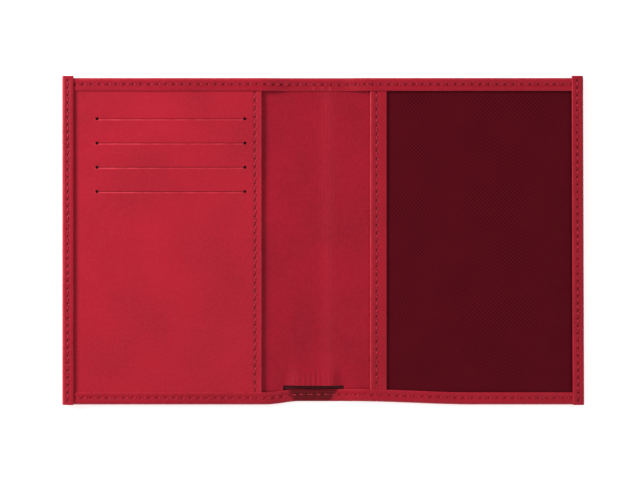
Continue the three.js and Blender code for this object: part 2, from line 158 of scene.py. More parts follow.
def bump(x, centre, width):
    return np.exp(-(((np.asarray(x, float) - centre) / width) ** 2))


def nip(x):
    """How far the bottom edge is drawn in."""
    return NIP * smooth(x, *NIP_RISE) * (1 - smooth(x, *NIP_FALL))


def undulation(x, y):
    """Soft unevenness of leather, about -1 to 1."""
    return (
        0.45 * np.sin(0.071 * x + 0.043 * y + 0.6)
        + 0.3 * np.sin(-0.052 * x + 0.118 * y + 2.1)
        + 0.25 * np.sin(0.163 * x - 0.087 * y + 4.0)
    )


def steps(start, end, size):
    """Distances from start to end, with closer ones at both ends for a rounded edge."""
    edge = EDGE_STEPS
    if end - start < 3 * edge[-1]:
        return np.linspace(start, end, max(3, round((end - start) / size) + 1))
    inner = np.linspace(start + edge[-1], end - edge[-1], max(2, round((end - start) / size)))
    return np.concatenate([start + edge[:-1], inner, end - edge[:-1][::-1]])


def with_lines(values, centre, reach, size):
    """Adds closer grid lines about a centre."""
    extra = np.arange(centre - reach, centre + reach + size / 2, size)
    kept = values[(values < centre - reach - size / 2) | (values > centre + reach + size / 2)]
    return np.sort(np.concatenate([kept, extra]))


def round_over(distance, radius):
    """How far a rounded edge falls below the face, at a distance in from it."""
    t = np.clip(1 - np.asarray(distance, float) / radius, 0, 1)
    return radius * (1 - np.sqrt(1 - t * t))


# ---- Meshes ----


def make(name, vertices, faces, material, wear_and_painted_light=None):
    """A smooth-shaded object. Its rest place, and its rubbing and painted light, are kept as attributes for
    its material:
    above 0 pales edges from rubbing and paints highlights, and below 0 paints shade into seams, hollows and
    the gap under the loose lining."""
    mesh = bpy.data.meshes.new(name)
    points = np.asarray(vertices, float) * MM
    mesh.from_pydata(points.tolist(), [], faces)
    mesh.validate()
    mesh.update()
    rest = mesh.attributes.new("rest", "FLOAT_VECTOR", "POINT")
    rest.data.foreach_set("vector", points.astype(np.float32).ravel())
    paint_wear_and_light = mesh.attributes.new("wear_and_painted_light", "FLOAT", "POINT")
    amount = np.zeros(len(points)) if wear_and_painted_light is None else np.asarray(wear_and_painted_light)
    paint_wear_and_light.data.foreach_set("value", amount.astype(np.float32))
    mesh.materials.append(material)
    piece = bpy.data.objects.new(name, mesh)
    bpy.context.scene.collection.objects.link(piece)
    mesh.shade_smooth()
    mesh.set_sharp_from_angle(angle=FOLD_ANGLE)
    return piece


def plate(name, xs, ys, top, bottom, material, mask=None, place=None, paint_wear_and_light=None):
    """A closed sheet over a grid, left out where mask is false, with walls at every border."""
    across, up = len(xs), len(ys)
    X, Y = np.meshgrid(xs, ys)
    if place:
        X, Y = place(X, Y)
    upper = np.stack([X, Y, top(X, Y)], -1).reshape(-1, 3)
    lower = np.stack([X, Y, bottom(X, Y)], -1).reshape(-1, 3)
    solid = np.ones((up - 1, across - 1), bool) if mask is None else mask
    index = np.arange(up * across).reshape(up, across)
    quads = np.stack([index[:-1, :-1], index[:-1, 1:], index[1:, 1:], index[1:, :-1]], -1)[solid]
    count = up * across
    padded = np.pad(solid, 1)
    inside = padded[1:-1, 1:-1]
    sides = (
        (padded[:-2, 1:-1], index[:-1, :-1], index[:-1, 1:]),
        (padded[2:, 1:-1], index[1:, 1:], index[1:, :-1]),
        (padded[1:-1, :-2], index[1:, :-1], index[:-1, :-1]),
        (padded[1:-1, 2:], index[:-1, 1:], index[1:, 1:]),
    )
    walls = []
    for beyond, start, end in sides:
        border = inside & ~beyond
        a, b = start[border], end[border]
        walls.append(np.stack([a, a + count, b + count, b], -1))
    faces = np.concatenate([quads, quads[:, ::-1] + count] + walls)
    used, faces = np.unique(faces, return_inverse=True)
    faces = faces.reshape(-1, 4)
    vertices = np.concatenate([upper, lower])[used]
    wear_and_painted_light = paint_wear_and_light(vertices[:, 0], vertices[:, 1]) if paint_wear_and_light else None
    return make(name, vertices, faces.tolist(), material, wear_and_painted_light)


def swept(name, stations, section, material):
    """A closed piece from a loop at each station. section(station) gives its points and their rubbing and
    painted light.
    """
    made = [section(s) for s in stations]
    loops = [points for points, _ in made]
    size = len(loops[0])
    faces = []
    for i in range(len(loops) - 1):
        for k in range(size):
            j = (k + 1) % size
            faces.append((i * size + k, i * size + j, (i + 1) * size + j, (i + 1) * size + k))
    last = (len(loops) - 1) * size
    faces.append(tuple(range(size))[::-1])
    faces.append(tuple(last + k for k in range(size)))
    wear_and_painted_light = np.concatenate([paint_wear_and_light for _, paint_wear_and_light in made])
    return make(name, np.concatenate(loops), faces, material, wear_and_painted_light)


# ---- Seams ----


def stitch_places(start, end, pitch):
    count = max(1, round((end - start) / pitch))
    size = (end - start) / count
    return [start + (i + 0.5) * size for i in range(count)], size


def seam_run(along, places, size):
    """How far the nearest needle hole is, and 1 along the seam's run, falling to 0 past its ends."""
    first, last = places[0] - size / 2, places[-1] + size / 2
    phase = (np.asarray(along, float) - first) / size
    near = np.abs(phase - np.round(phase)) * size
    return near, smooth(along, first - 1, first) * (1 - smooth(along, last, last + 1))


def seam_dent(along, off, places, size):
    """The groove that a seam pulls into the leather, deepest at the needle holes."""
    near, run = seam_run(along, places, size)
    return run * (0.16 * bump(off, 0, 0.75) + 0.34 * bump(near, 0, 0.3) * bump(off, 0, 0.34))


def seam_painted_shade(along, off, places, size):
    """Painted shade in the needle holes and, less, along the groove. It is below 0."""
    near, run = seam_run(along, places, size)
    return -run * (0.16 * bump(off, 0, 0.55) + 0.8 * bump(near, 0, 0.42) * bump(off, 0, 0.42))


def stitch(centre, along, across, half, radius, slant, dip, down):
    """One stitch: a twisted thread that comes up, crosses and goes down."""
    rings, sides = THREAD_RINGS, THREAD_SIDES
    vertices, faces = [], []
    for i in range(rings):
        u = -1 + 2 * i / (rings - 1)
        fat = radius * math.sqrt(max(0.04, 1 - abs(u) ** 5))
        middle = centre + along * (u * half) + across * (u * half * slant)
        middle = middle + np.array([0, 0, down * (dip * u**4 - 0.05)])
        for k in range(sides):
            angle = 2 * math.pi * k / sides
            ply = 1 + PLY_DEPTH * math.cos(2 * angle + PLY_TURN * u)
            vertices.append(
                middle
                + across * (THREAD_BROAD * fat * ply * math.cos(angle))
                + np.array([0, 0, THREAD_FLAT * fat * ply * math.sin(angle)])
            )
    for i in range(rings - 1):
        for k in range(sides):
            j = (k + 1) % sides
            faces.append((i * sides + k, (i + 1) * sides + k, (i + 1) * sides + j, i * sides + j))
    faces.append(tuple(range(sides)))
    faces.append(tuple((rings - 1) * sides + k for k in range(sides))[::-1])
    return vertices, faces


def seam(name, places, size, at, vertical, slant, down=-1.0):
    """A run of stitches. at(s) gives each stitch's middle; the run goes up if vertical."""
    along = np.array([0.0, 1.0, 0.0]) if vertical else np.array([1.0, 0.0, 0.0])
    across = np.array([-1.0, 0.0, 0.0]) if vertical else np.array([0.0, 1.0, 0.0])
    vertices, faces = [], []
    for s in places:
        one, sides = stitch(
            at(s), along, across, STITCH_HALF * size, THREAD_RADIUS, slant, STITCH_DIVE, down
        )
        faces += [tuple(len(vertices) + v for v in face) for face in sides]
        vertices += one
    return make(name, vertices, faces, THREAD)


# ---- Materials ----


class Nodes:
    """A short way to lay out a material's nodes."""

    def __init__(self, name):
        self.material = bpy.data.materials.new(name)
        self.material.use_nodes = True
        self.tree = self.material.node_tree
        self.shader = self.tree.nodes["Principled BSDF"]

    def add(self, kind, inputs=(), **settings):
        node = self.tree.nodes.new(kind)
        for key, value in settings.items():
            setattr(node, key, value)
        for key, value in dict(inputs).items():
            self.set(node, key, value)
        return node

    def set(self, node, key, value):
        if isinstance(value, bpy.types.NodeSocket):
            self.tree.links.new(value, node.inputs[key])
        else:
            node.inputs[key].default_value = value

    def rest(self):
        return self.add("ShaderNodeAttribute", attribute_name="rest").outputs["Vector"]

    def wear_and_painted_light(self):
        return self.add("ShaderNodeAttribute", attribute_name="wear_and_painted_light").outputs["Fac"]

    def noise(self, place, scale, detail=3.0):
        inputs = {"Vector": place, "Scale": scale, "Detail": detail}
        return self.add("ShaderNodeTexNoise", inputs).outputs["Fac"]

    def between(self, value, low, high, to_low=0.0, to_high=1.0):
        inputs = {"Value": value, "From Min": low, "From Max": high, "To Min": to_low, "To Max": to_high}
        return self.add("ShaderNodeMapRange", inputs).outputs["Result"]

    def mix(self, amount, a, b):
        node = self.add("ShaderNodeMix", data_type="RGBA")
        self.set(node, 0, amount)
        self.set(node, 6, a)
        self.set(node, 7, b)
        return node.outputs[2]

    def maths(self, operation, a, b=0.0):
        return self.add("ShaderNodeMath", {0: a, 1: b}, operation=operation).outputs[0]

    def relief(self, height, distance, strength, under=None):
        inputs = {"Height": height, "Distance": distance, "Strength": strength}
        if under is not None:
            inputs["Normal"] = under
        return self.add("ShaderNodeBump", inputs).outputs["Normal"]


def leather(name, colour, shade=0.8, rough=0.46):
    """Smooth calf: mottled dye, fine creased grain, paler edges from rubbing, painted highlights, and
    painted shade where the attribute is below 0.
    """
    n = Nodes(name)
    place = n.rest()
    pale = (*[min(1, c * 1.2 + 0.004) for c in colour], 1)
    deep = (*[c * shade for c in colour], 1)
    clouds = n.between(n.noise(place, 34, 4), 0.32, 0.68)
    dye = n.mix(clouds, deep, (*colour, 1))
    fine = n.between(n.noise(place, 900, 2), 0.35, 0.7, 0, 0.35)
    dye = n.mix(fine, dye, pale)
    patchy = n.between(n.noise(place, 420), 0.25, 0.6, 0.4, 1)
    # Above 0 the leather is paled: rubbing on edges, and painted highlights on slot lips, the spine's bend
    # and the pocket edge.
    rubbed_and_painted_highlight = n.maths("MULTIPLY", n.between(n.wear_and_painted_light(), 0, 1), patchy)
    dye = n.mix(rubbed_and_painted_highlight, dye, (*[min(1, c * 1.5 + 0.035) for c in colour], 1))
    # Below 0 the leather is painted near black: painted shade in needle holes, seam grooves, the sunk fold
    # and the gap under the loose lining.
    painted_shade = n.maths("MULTIPLY", n.wear_and_painted_light(), -1.0)
    dye = n.mix(n.between(painted_shade, 0, 1), dye, (*[c * 0.16 for c in colour], 1))
    n.set(n.shader, "Base Color", dye)
    n.set(n.shader, "Roughness", n.between(n.noise(place, 240), 0.3, 0.7, rough - 0.05, rough + 0.09))
    n.set(n.shader, "Specular IOR Level", 0.15)
    grain = n.add("ShaderNodeTexVoronoi", {"Vector": place, "Scale": 1500.0}, feature="DISTANCE_TO_EDGE")
    creases = n.between(grain.outputs["Distance"], 0.0, 0.14)
    first = n.relief(creases, 0.00004, 0.5)
    n.set(n.shader, "Normal", n.relief(n.noise(place, 260, 4), 0.00018, 0.55, first))
    return n.material


def thread_material():
    n = Nodes("sewing_thread")
    place = n.rest()
    wave = {"Vector": place, "Scale": 420.0, "Distortion": 1.5}
    lay = n.add("ShaderNodeTexWave", wave, bands_direction="DIAGONAL")
    dye = n.mix(lay.outputs["Fac"], (0.2, 0.004, 0.012, 1), (0.5, 0.018, 0.04, 1))
    n.set(n.shader, "Base Color", dye)
    n.set(n.shader, "Roughness", n.between(n.noise(place, 1500), 0.3, 0.7, 0.4, 0.6))
    n.set(n.shader, "Specular IOR Level", 0.25)
    n.set(n.shader, "Normal", n.relief(lay.outputs["Fac"], 0.00006, 0.6))
    return n.material


def crossing(n, place, pitch_x, pitch_y):
    """The weave's overs and unders, from -1 to 1."""
    part = n.add("ShaderNodeSeparateXYZ", {0: place}).outputs
    wave_x = n.maths("COSINE", n.maths("MULTIPLY", part["X"], math.pi / (pitch_x * MM)))
    wave_y = n.maths("COSINE", n.maths("MULTIPLY", part["Y"], math.pi / (pitch_y * MM)))
    return n.maths("MULTIPLY", wave_x, wave_y)


def net_material():
    n = Nodes("net_nylon")
    place = n.rest()
    weave = crossing(n, place, WEAVE_X, WEAVE_Y)
    # The crossings on top are painted lighter and the hollows between them darker: painted highlight and
    # painted shade of the weave.
    painted_weave_light = n.between(weave, -0.25, 0.6)
    cloudy = n.between(n.noise(place, 60), 0.3, 0.7)
    dark = n.mix(cloudy, (0.064, 0.0014, 0.005, 1), (0.078, 0.002, 0.0065, 1))
    n.set(n.shader, "Base Color", n.mix(painted_weave_light, dark, (0.108, 0.0026, 0.009, 1)))
    n.set(n.shader, "Roughness", n.between(n.noise(place, 500), 0.3, 0.7, 0.48, 0.62))
    n.set(n.shader, "Specular IOR Level", 0.04)
    fibres = n.relief(n.noise(place, 3000, 2), 0.00003, 0.4)
    n.set(n.shader, "Normal", n.relief(weave, 0.0001, 0.3, fibres))
    return n.material


def cloth_material():
    n = Nodes("pocket_cloth")
    place = n.rest()
    weave = crossing(n, place, HIDDEN_WEAVE, HIDDEN_WEAVE)
    # The crossings on top are painted lighter and the hollows between them darker: painted highlight and
    # painted shade of the weave.
    painted_weave_light = n.between(weave, -1, 1)
    n.set(n.shader, "Base Color", n.mix(painted_weave_light, (0.02, 0.002, 0.004, 1), (0.06, 0.006, 0.012, 1)))
    n.set(n.shader, "Roughness", n.between(n.noise(place, 300), 0.3, 0.7, 0.7, 0.85))
    n.set(n.shader, "Normal", n.relief(weave, 0.00006, 0.5))
    return n.material


def board_material():
    n = Nodes("bonded_board")
    place = n.add("ShaderNodeTexCoord").outputs["Object"]
    flecks = n.between(n.noise(place, 700, 5), 0.35, 0.65)
    n.set(n.shader, "Base Color", n.mix(flecks, (0.17, 0.1, 0.055, 1), (0.32, 0.21, 0.12, 1)))
    n.set(n.shader, "Roughness", n.between(n.noise(place, 200), 0.3, 0.7, 0.8, 0.95))
    n.set(n.shader, "Normal", n.relief(flecks, 0.00008, 0.5))
    return n.material


CALF = leather("calf", (0.42, 0.008, 0.024))
TURNED = leather("calf_turned", (0.36, 0.005, 0.019))
LINING = leather("calf_lining", (0.345, 0.003, 0.018), rough=0.5)
THREAD = thread_material()
NET = net_material()
CLOTH = cloth_material()
BOARD = board_material()


# ---- Pieces that cross the spine, in two parts that meet at its middle ----


def over_spine(name, start, end, build, replaced=None):
    """build(name, x0, x1) makes each part. replaced names the CAD nodes of the three bodies in order."""
    limits = [start, SPINE_MIDDLE, end]
    for k, hinge in enumerate(HINGES):
        piece = build(f"{name}_{k + 1}", limits[k], limits[k + 1])
        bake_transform(piece)
        if replaced:
            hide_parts(*replaced[k : k + 2])


def build_cover():
    """The outer leather, flat out to where it turns round the edges."""
    low, high = BOTTOM + ROLL, TOP - ROLL

    def placed(X, Y):
        return X, Y + nip(X) * (1 - smooth(Y, low, low + NIP_REACH))

    def under(X, Y):
        """The grooves that the seams pull into the outer face."""
        width = COVER_GROOVE_WIDTH
        seam_low = bump(Y, BOTTOM + nip(X) + SEAM_IN, width)
        seam_high = bump(Y, TOP - SEAM_IN, width)
        sides = bump(X, LEFT + SIDE_SEAM_IN, width) + bump(X, RIGHT - SIDE_SEAM_IN, width)
        return COVER_GROOVE * np.clip(seam_low + seam_high + sides, 0, 1)

    def build(name, x0, x1):
        xs = np.linspace(x0, x1, max(9, round((x1 - x0) / 0.9)))
        ys = np.linspace(low, high, 150)
        for line in (BOTTOM + SEAM_IN, TOP - SEAM_IN):
            ys = with_lines(ys, line, 1.2, SEAM_GRID)
        for line in (LEFT + SIDE_SEAM_IN, RIGHT - SIDE_SEAM_IN):
            if x0 < line < x1:
                xs = with_lines(xs, line, 1.2, SEAM_GRID)
        inner = lambda X, Y: np.full(X.shape, COVER)
        piece = plate(name, xs, ys, inner, under, CALF, place=placed)
        heights = np.array([v.co.z for v in piece.data.vertices])
        # The inside of the cover is painted near black: painted shade for the gap under the loose lining,
        # where it shows.
        inside_painted_shade = np.where(heights > COVER * MM * 0.9, -1.0, 0.0).astype(np.float32)
        piece.data.attributes["wear_and_painted_light"].data.foreach_set("value", inside_painted_shade)
        return piece

    nodes = ["left_cover_leather", "spine_cover", "right_cover_leather"]
    over_spine("cover", LEFT + ROLL, RIGHT - ROLL, build, nodes)


# ---- Turned-in edges ----


def hem_level(x):
    """The height of the top and bottom turn-ins along the wallet."""
    left = 1 - smooth(x, PANEL_HIGH[0], PANEL_HIGH[0] + HEM_SETTLE)
    right = smooth(x, STRIP_LOW[0] - HEM_SETTLE, STRIP_LOW[0])
    return SPINE_LEVEL + (LEFT_LEVEL - SPINE_LEVEL) * left + (RIGHT_LEVEL - SPINE_LEVEL) * right


def turn(level, width, dent):
    """The loop of a turned-in edge: distances in from the edge, heights, and edge wear."""
    half = level / 2
    angles = np.linspace(math.pi / 2, 3 * math.pi / 2, TURN_POINTS)
    roll_in = ROLL + ROLL * np.cos(angles)
    roll_z = half + half * np.sin(angles)
    web = np.linspace(width - LIP_SLOPE, ROLL, WEB_POINTS, endpoint=False)
    lip = np.array([[width - 0.18, level - 0.07], [width, level - 0.26], [width, level - 0.42]])
    outer = np.concatenate(
        [lip[::-1][1:], np.stack([web, level - dent(web)], -1), np.stack([roll_in, roll_z], -1)]
    )
    thin = HEM_LEATHER
    inner_in = ROLL + (ROLL - thin) * np.cos(angles[::-1])
    inner_z = half + (half - thin) * np.sin(angles[::-1])
    under = np.array([[width - 0.3, level - thin], [width, level - thin]])
    loop = np.concatenate([outer, np.stack([inner_in, inner_z], -1), under])
    rubbed_roll = 0.4 * bump(loop[:, 0], 0.35, 0.6) * (loop[:, 1] > half)
    return loop, rubbed_roll + 0.5 * bump(loop[:, 0], width, 0.25)


def build_edge_hems():
    spans = {"top": (TOP, -1, TOP_HEM), "bottom": (BOTTOM, 1, BOTTOM_HEM)}
    ends = (LEFT + SIDE_HEM + EDGE_SEAM_END, RIGHT - SIDE_HEM - EDGE_SEAM_END)
    places, size = stitch_places(*ends, PITCH)
    for label, (edge, inward, width) in spans.items():

        def line(x):
            return edge + (nip(x) if inward > 0 else 0)

        def reach(x):
            """The bottom turn-in is narrower where the lining hangs loose over it."""
            return width - (0.0 if inward < 0 else 0.35 * bump(x, -4, 9))

        def sunk_fold_and_shadow(x, t):
            """The deep fold under the loose lining, with the painted shadow that the lining casts on it,
            narrower towards the edge.
            """
            if inward < 0:
                return 0 * t
            left = FOLD_SHADOW_OUT[0] + (FOLD_SHADOW_IN[0] - FOLD_SHADOW_OUT[0]) * t / width
            right = FOLD_SHADOW_OUT[1] + (FOLD_SHADOW_IN[1] - FOLD_SHADOW_OUT[1]) * t / width
            return smooth(x, left - 1.2, left + 1.2) * (1 - smooth(x, right - 1.2, right + 1.2))

        def crease(x, t):
            """Short creases that bending has left in the top turn-in."""
            if inward > 0:
                return 0
            return sum(0.1 * bump(x, c, 0.35) * smooth(t, 2.6, 4.6) for c in CREASES)

        def section(x):
            level = float(hem_level(x))
            waviness = 0.05 * math.sin(0.21 * x + inward)

            def dent(t):
                dip = seam_dent(x, t - SEAM_IN, places, size) + 0.3 * sunk_fold_and_shadow(x, t)
                return dip - crease(x, t) + waviness * smooth(t, 2, 4)

            loop, wear_and_painted_light = turn(level, reach(x), dent)
            outside = loop[:, 1] > level / 2
            # Painted shade in the needle holes and the seam's groove, fainter on the bottom turn-in.
            faint = 1.0 if inward < 0 else 0.35
            wear_and_painted_light = wear_and_painted_light + faint * outside * seam_painted_shade(x, loop[:, 0] - SEAM_IN, places, size)
            # Painted shadow of the loose lining, darkening the sunk fold of the bottom turn-in.
            wear_and_painted_light = wear_and_painted_light - outside * sunk_fold_and_shadow(x, loop[:, 0]) * 0.8
            wear_and_painted_light = wear_and_painted_light + 4 * outside * crease(x, loop[:, 0])
            y = line(x) + inward * loop[:, 0]
            points = np.stack([np.full(len(loop), x), y, loop[:, 1]], -1)
            return (points, wear_and_painted_light) if inward < 0 else (points[::-1], wear_and_painted_light[::-1])

        def build(name, x0, x1):
            stations = np.linspace(x0, x1, max(12, round((x1 - x0) / 0.3)))
            return swept(name, stations, section, TURNED)

        nodes = [f"{part}_{label}_hem" for part in ("left", "spine", "right")]
        over_spine(f"{label}_hem", LEFT + ROLL / 2, RIGHT - ROLL / 2, build, nodes)
        build_edge_seams(label, line, inward, places, size)


def build_edge_seams(label, line, inward, places, size):
    def on_hem(x):
        return np.array([x, line(x) + inward * SEAM_IN, hem_level(x) - THREAD_SINK])

    def on_cover(x):
        return np.array([x, line(x) + inward * SEAM_IN, COVER_SEAM_RISE])

    def run(at, down):
        def build(name, x0, x1):
            chosen = [s for s in places if x0 <= s < x1]
            return seam(name, chosen, size, at, False, -0.16, down)

        return build

    nodes = [f"{part}_{label}_thread" for part in ("left", "spine", "right")]
    over_spine(f"{label}_stitches", LEFT, RIGHT, run(on_hem, -1.0), nodes)
    over_spine(f"{label}_outer_stitches", LEFT, RIGHT, run(on_cover, 1.0))


def build_side_hems():
    for label, edge, inward in (("left", LEFT, 1), ("right", RIGHT, -1)):
        level = corners(f"{label}_side_hem")[1][2]
        places, size = stitch_places(BOTTOM + SIDE_SEAM_END, SIDE_TOP - SIDE_SEAM_END, SIDE_PITCH)

        def lean(y):
            """The right edge slants a little."""
            return 0.0 if inward > 0 else RIGHT_LEAN * (y - BOTTOM) / (TOP - BOTTOM)

        def section(y):
            def dent(t):
                return seam_dent(y, t - SIDE_SEAM_IN, places, size) + 0.04 * math.sin(0.19 * y)

            ends = 0.12 * (1 - smooth(min(y - BOTTOM, SIDE_TOP - y), 0, 0.5))
            loop, wear_and_painted_light = turn(level - ends, SIDE_HEM, dent)
            outside = loop[:, 1] > level / 2
            wear_and_painted_light = wear_and_painted_light + outside * seam_painted_shade(y, loop[:, 0] - SIDE_SEAM_IN, places, size)
            x = edge + inward * (loop[:, 0] + lean(y))
            points = np.stack([x, np.full(len(loop), y), loop[:, 1]], -1)
            return (points, wear_and_painted_light) if inward > 0 else (points[::-1], wear_and_painted_light[::-1])

        stations = steps(BOTTOM, SIDE_TOP, 0.3)
        hem = swept(f"{label}_side_turn", stations, section, TURNED)
        body = f"{label}_cover"
        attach(hem, body)
        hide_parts(f"{label}_side_hem")

        def on_hem(y):
            return np.array([edge + inward * (SIDE_SEAM_IN + lean(y)), y, level - THREAD_SINK])

        def on_cover(y):
            return np.array([edge + inward * SIDE_SEAM_IN, y, COVER_SEAM_RISE])

        threads = seam(f"{label}_side_stitches", places, size, on_hem, True, 0.14)
        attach(threads, body)
        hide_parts(f"{label}_side_thread")
        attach(seam(f"{label}_side_outer_stitches", places, size, on_cover, True, 0.14, 1.0), body)


# ---- Card panel ----


def slot_height(k):
    return SLOT_TOP - k * SLOT_PITCH


def snapped_to_holes(X, Y):
    """Moves the grid points about each round hole onto its circle."""
    X, Y = X.copy(), Y.copy()
    for k in range(SLOTS):
        for end in SLOT_ENDS:
            dx, dy = X - end, Y - slot_height(k)
            away = np.hypot(dx, dy)
            ring = (away > 0.8 * HOLE_RADIUS) & (away < 1.2 * HOLE_RADIUS)
            factor = np.where(ring, HOLE_RADIUS / np.maximum(away, 1e-6), 1)
            X, Y = end + dx * factor, slot_height(k) + dy * factor
    return X, Y


def pocket_stitch_places():
    low, high = BOTTOM + BOTTOM_HEM + POCKET_SEAM_END, TOP - TOP_HEM - POCKET_SEAM_END
    return stitch_places(low, high, POCKET_PITCH)


def build_card_panel():
    y0, y1 = LINING_BOTTOM, LINING_TOP
    level = PANEL_HIGH[2]
    edge = PANEL_HIGH[0]
    places, size = pocket_stitch_places()
    xs = steps(LEFT + ROLL, edge, 1.0)
    xs = with_lines(xs, PANEL_SEAM, 1.4, SEAM_GRID)
    for end in SLOT_ENDS:
        xs = with_lines(xs, end, 1.0, 0.17)
    ys = np.linspace(y0, y1, 330)
    for k in range(SLOTS):
        ys = with_lines(ys, slot_height(k), 1.05, SLOT_GAP / 2)
    X, Y = np.meshgrid((xs[1:] + xs[:-1]) / 2, (ys[1:] + ys[:-1]) / 2)
    open_cells = np.zeros(X.shape, bool)
    for k in range(SLOTS):
        dy = np.abs(Y - slot_height(k))
        open_cells |= (dy < SLOT_GAP / 2) & (X > SLOT_ENDS[0]) & (X < SLOT_ENDS[1])
        for end in SLOT_ENDS:
            open_cells |= np.hypot(X - end, dy) < HOLE_RADIUS

    def lips(X, Y):
        """A slot's lower lip stands a little proud, and its upper one sinks."""
        rise = 0
        for k in range(SLOTS):
            dy = Y - slot_height(k)
            within = smooth(X, SLOT_ENDS[0] - 1, SLOT_ENDS[0] + 2) * (
                1 - smooth(X, SLOT_ENDS[1] - 2, SLOT_ENDS[1] + 1)
            )
            rise = rise + within * np.where(
                dy < 0, LIP_RISE * np.exp(dy / LIP_RISE_RUN), -LIP_SINK * np.exp(-dy / LIP_SINK_RUN)
            )
        return rise

    def feed_marks(X, Y):
        """Faint ticks that the sewing machine's feet have left beside the side seam."""
        beside = bump(X, LEFT + SIDE_HEM + 1.7, 0.9)
        return FEED_TICK_DEPTH * beside * np.sin(2 * math.pi * Y / FEED_TICK)

    def top(X, Y):
        z = level + 0.09 * undulation(X, Y) + lips(X, Y) + feed_marks(X, Y)
        z = z - seam_dent(Y, X - PANEL_SEAM, places, size)
        return z - round_over(edge - X, 0.55)

    def bottom(X, Y):
        fold = smooth(X, FLAP_END - 0.2, FLAP_END + 0.2)
        z = level - PANEL_LEATHER - (PANEL_LEATHER - FLAP_LEATHER) * fold
        return z + round_over(edge - X, 0.5)

    def paint_wear_and_light(x, y):
        amount = 0.7 * bump(x, edge, 0.5) + seam_painted_shade(y, x - PANEL_SEAM, places, size)
        for k in range(SLOTS):
            dy = y - slot_height(k)
            within = smooth(x, SLOT_ENDS[0] - 1.5, SLOT_ENDS[0])
            within = within * (1 - smooth(x, SLOT_ENDS[1], SLOT_ENDS[1] + 1))
            # Painted highlight: the pale line along each slot's lower lip, stronger towards the left where
            # the light comes from.
            lip_highlight_strength = 0.45 + 0.55 * bump(x, SLOT_ENDS[0] + 4, 16) + 0.15 * np.sin(0.7 * x + k)
            amount = amount + within * lip_highlight_strength * bump(dy, -0.42, 0.3)
        return amount

    panel = plate(
        "slotted_panel", xs, ys, top, bottom, CALF, ~open_cells, snapped_to_holes, paint_wear_and_light
    )
    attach(panel, "left_cover")
    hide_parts("card_panel")
    at = lambda y: np.array([PANEL_SEAM, y, level - THREAD_SINK])
    threads = seam("slotted_panel_stitches", places, size, at, True, -0.22)
    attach(threads, "left_cover")
    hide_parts("card_panel_thread")


# ---- Spine lining ----


def build_lining():
    def loose(X):
        return smooth(X, LOOSE_LEFT, LOOSE_LEFT + 7) * (1 - smooth(X, LOOSE_RIGHT - 6, LOOSE_RIGHT))

    def shape(X, Y):
        ridge = BEND_RIDGE * bump(X, BEND_RIDGE_X, BEND_RIDGE_WIDTH)
        fine = 0.035 * bump(X, 1, 7) * np.sin(4.1 * X + 0.05 * Y) * (0.6 + 0.4 * np.sin(0.13 * Y + X))
        lift = LOOSE_LIFT * loose(X) * (1 - smooth(Y, LOOSE_EDGE, LOOSE_EDGE + LOOSE_RUN)) ** 1.5
        creases = 0.12 * bump(X, -4.5, 6) * np.sin(2.9 * X) * (1 - smooth(Y, LOOSE_EDGE + 1, LOOSE_EDGE + 8))
        return ridge + fine + lift + creases + 0.05 * undulation(2 * X, Y)

    def build(name, x0, x1):
        xs = np.linspace(x0, x1, max(15, round((x1 - x0) / 0.32)))
        ys = with_lines(np.linspace(LINING_BOTTOM, LINING_TOP, 190), LOOSE_EDGE + 0.4, 0.8, 0.1)
        ys = np.sort(np.append(ys[np.abs(ys - LOOSE_EDGE) > 0.04], LOOSE_EDGE))
        middle_x, middle_y = np.meshgrid((xs[1:] + xs[:-1]) / 2, (ys[1:] + ys[:-1]) / 2)
        cut = (middle_y < LOOSE_EDGE) & (middle_x > LOOSE_LEFT) & (middle_x < LOOSE_RIGHT)

        def rounded(X, Y):
            free = (X > LOOSE_LEFT) & (X < LOOSE_RIGHT)
            return np.where(free, round_over(np.abs(Y - LOOSE_EDGE), 0.3), 0)

        def top(X, Y):
            return LINING_LEVEL + shape(X, Y) - rounded(X, Y)

        def bottom(X, Y):
            return LINING_FLOOR + shape(X, Y)

        def paint_wear_and_light(x, y):
            free = (x > LOOSE_LEFT) & (x < LOOSE_RIGHT)
            # The paler band about x = 2.2 is a painted highlight on the ridge left by folding; the loose
            # edge is paler from rubbing.
            return 0.4 * bump(y, LOOSE_EDGE, 0.3) * free + 0.1 * bump(x, 2.2, 3.2)

        return plate(name, xs, ys, top, bottom, LINING, ~cut, None, paint_wear_and_light)

    nodes = ["left_spine_lining", "spine_lining", "right_spine_lining"]
    over_spine("lining", LINING_LEFT, LINING_RIGHT, build, nodes)


# ---- Net pocket ----


def build_net():
    x0, x1 = NET_LOW[0], NET_HIGH[0]
    y0, y1 = NET_LOW[1], NET_HIGH[1]
    xs = np.arange(x0, x1, WEAVE_X / 2)
    ys = np.arange(y0, y1, WEAVE_Y / 2)
    X, Y = np.meshgrid(xs, ys)
    weave = np.cos(math.pi * X / WEAVE_X) * np.cos(math.pi * Y / WEAVE_Y)
    Z = (NET_LOW[2] + NET_HIGH[2]) / 2 + WEAVE_RISE * weave + 0.06 * undulation(X, Y)
    index = np.arange(X.size).reshape(X.shape)
    faces = np.stack([index[:-1, :-1], index[:-1, 1:], index[1:, 1:], index[1:, :-1]], -1)
    vertices = np.stack([X, Y, Z], -1).reshape(-1, 3)
    net = make("woven_net", vertices, faces.reshape(-1, 4).tolist(), NET)
    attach(net, "right_cover")
    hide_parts("net_panel")
    return net, ((xs[-1] - xs[0]) * MM, (ys[-1] - ys[0]) * MM)


